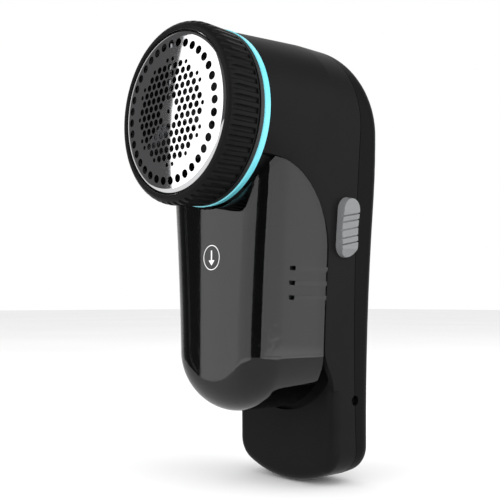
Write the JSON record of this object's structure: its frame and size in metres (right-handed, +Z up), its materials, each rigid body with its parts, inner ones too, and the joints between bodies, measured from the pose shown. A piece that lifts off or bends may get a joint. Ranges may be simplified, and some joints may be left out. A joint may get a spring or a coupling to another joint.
{
  "type": "fabric shaver",
  "caption": "Hand-held fabric shaver with a round perforated foil under a ribbed locking ring, a pull-off smoked lint box, a slide switch and an upright black grip.",
  "frame": {"origin": "under the middle of the shaver, level with the lowest point of the grip", "axes": "+Z up along the grip, -Y out of the shaving foil, +X towards the side with the switch and the charging socket"},
  "size_m": [0.0686, 0.0785, 0.1702],
  "materials": {
    "black_housing": "satin black moulded shell with a fine sheen",
    "black_cover": "satin black moulded shell with a fine sheen",
    "screw_steel": "zinc plated",
    "inner_black": "plain moulded",
    "cyan_accent": "bright cyan translucent band",
    "black_ring": "glossy black moulded grip ring",
    "foil_steel": "etched polished steel sheet",
    "blade_steel": "ground edges",
    "motor_steel": "zinc plated",
    "motor_black": "moulded",
    "copper": "bare metal",
    "bronze": "sintered",
    "magnet": "sintered",
    "felt": "pressed felt",
    "smoke_plastic": "smoked clear moulded box",
    "cell": "shrink sleeve",
    "nickel": "nickel strip",
    "board": "solder resist",
    "components": "moulded packages",
    "switch_body": "moulded",
    "knob_grey": "light grey moulded"
  },
  "bodies": {
    "housing": {"front_housing": "black_housing", "back_cover": "black_cover", "housing_screws": "screw_steel", "head_base": "inner_black", "accent_collar": "cyan_accent", "motor_can": "motor_steel", "motor_end_cap": "motor_black", "motor_terminals": "copper", "motor_bushes": "bronze", "motor_magnets": "magnet", "motor_screws": "screw_steel", "dust_seal": "felt", "battery_cell": "cell", "battery_tabs": "nickel", "circuit_board": "board", "board_parts": "components", "power_switch": "switch_body", "charging_jack": "switch_body"},
    "rotor": {"motor_shaft": "motor_steel", "motor_armature": "copper", "motor_commutator": "copper", "blade_carrier": "inner_black", "hub_cap": "inner_black", "blade_1": "blade_steel", "blade_2": "blade_steel", "blade_3": "blade_steel"},
    "foil_set": {"foil": "foil_steel", "foil_frame": "inner_black"},
    "ring": {"locking_ring": "black_ring"},
    "lint_box": {"lint_container": "smoke_plastic"},
    "switch": {"slide_knob": "knob_grey", "switch_lever": "knob_grey"}
  },
  "joints": [
    {"name": "blade_spin", "type": "hinge", "parent": "housing", "child": "rotor", "pos_m": [0, -0.03825, 0.136], "axis": [0, -1, 0], "continuous": true},
    {"name": "foil_lift", "type": "slide", "parent": "housing", "child": "foil_set", "axis": [0, -1, 0], "range_m": [0, 0.03]},
    {"name": "ring_twist", "type": "hinge", "parent": "foil_set", "child": "ring", "pos_m": [0, -0.03825, 0.136], "axis": [0, -1, 0], "range_deg": [0, 22]},
    {"name": "container_pull", "type": "slide", "parent": "housing", "child": "lint_box", "axis": [0, 0, -1], "range_m": [0, 0.078]},
    {"name": "power_switch", "type": "slide", "parent": "housing", "child": "switch", "axis": [0.0868, 0, 0.9962], "range_m": [0, 0.0045]}
  ]
}
